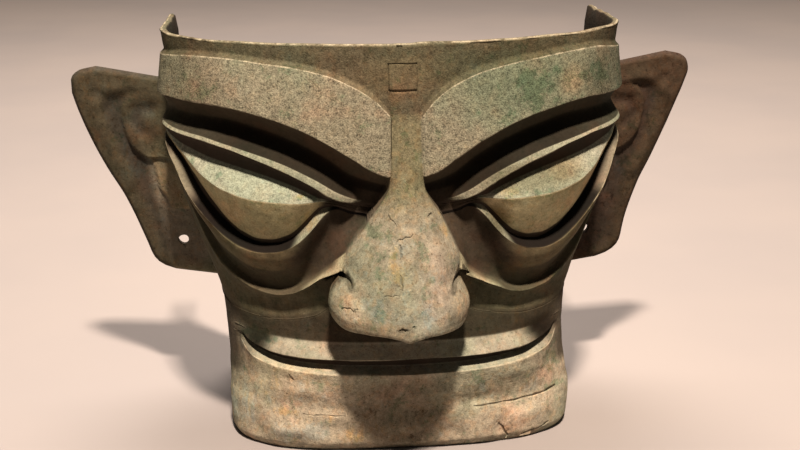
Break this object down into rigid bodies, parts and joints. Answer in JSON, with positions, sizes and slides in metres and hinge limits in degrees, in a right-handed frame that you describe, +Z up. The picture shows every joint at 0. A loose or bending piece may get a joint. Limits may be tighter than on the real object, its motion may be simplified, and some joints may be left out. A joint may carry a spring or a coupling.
{
  "type": "bronze mask",
  "caption": "Broad cast bronze face mask, bent to a U and open behind, with angular eyes, raised brows, wide nose, long thin mouth and pointed ears.",
  "frame": {"origin": "on the surface that the mask stands on, below the middle of its box", "axes": "+X from ear to ear, to the right as seen from the front; the face looks along -Y; +Z up"},
  "size_m": [0.416, 0.185, 0.2565],
  "materials": {
    "bronze": "aged cast bronze, granular green-grey and tan patina, smooth dark brown in the recesses"
  },
  "bodies": {
    "root": {"mask": "bronze"}
  },
  "joints": []
}
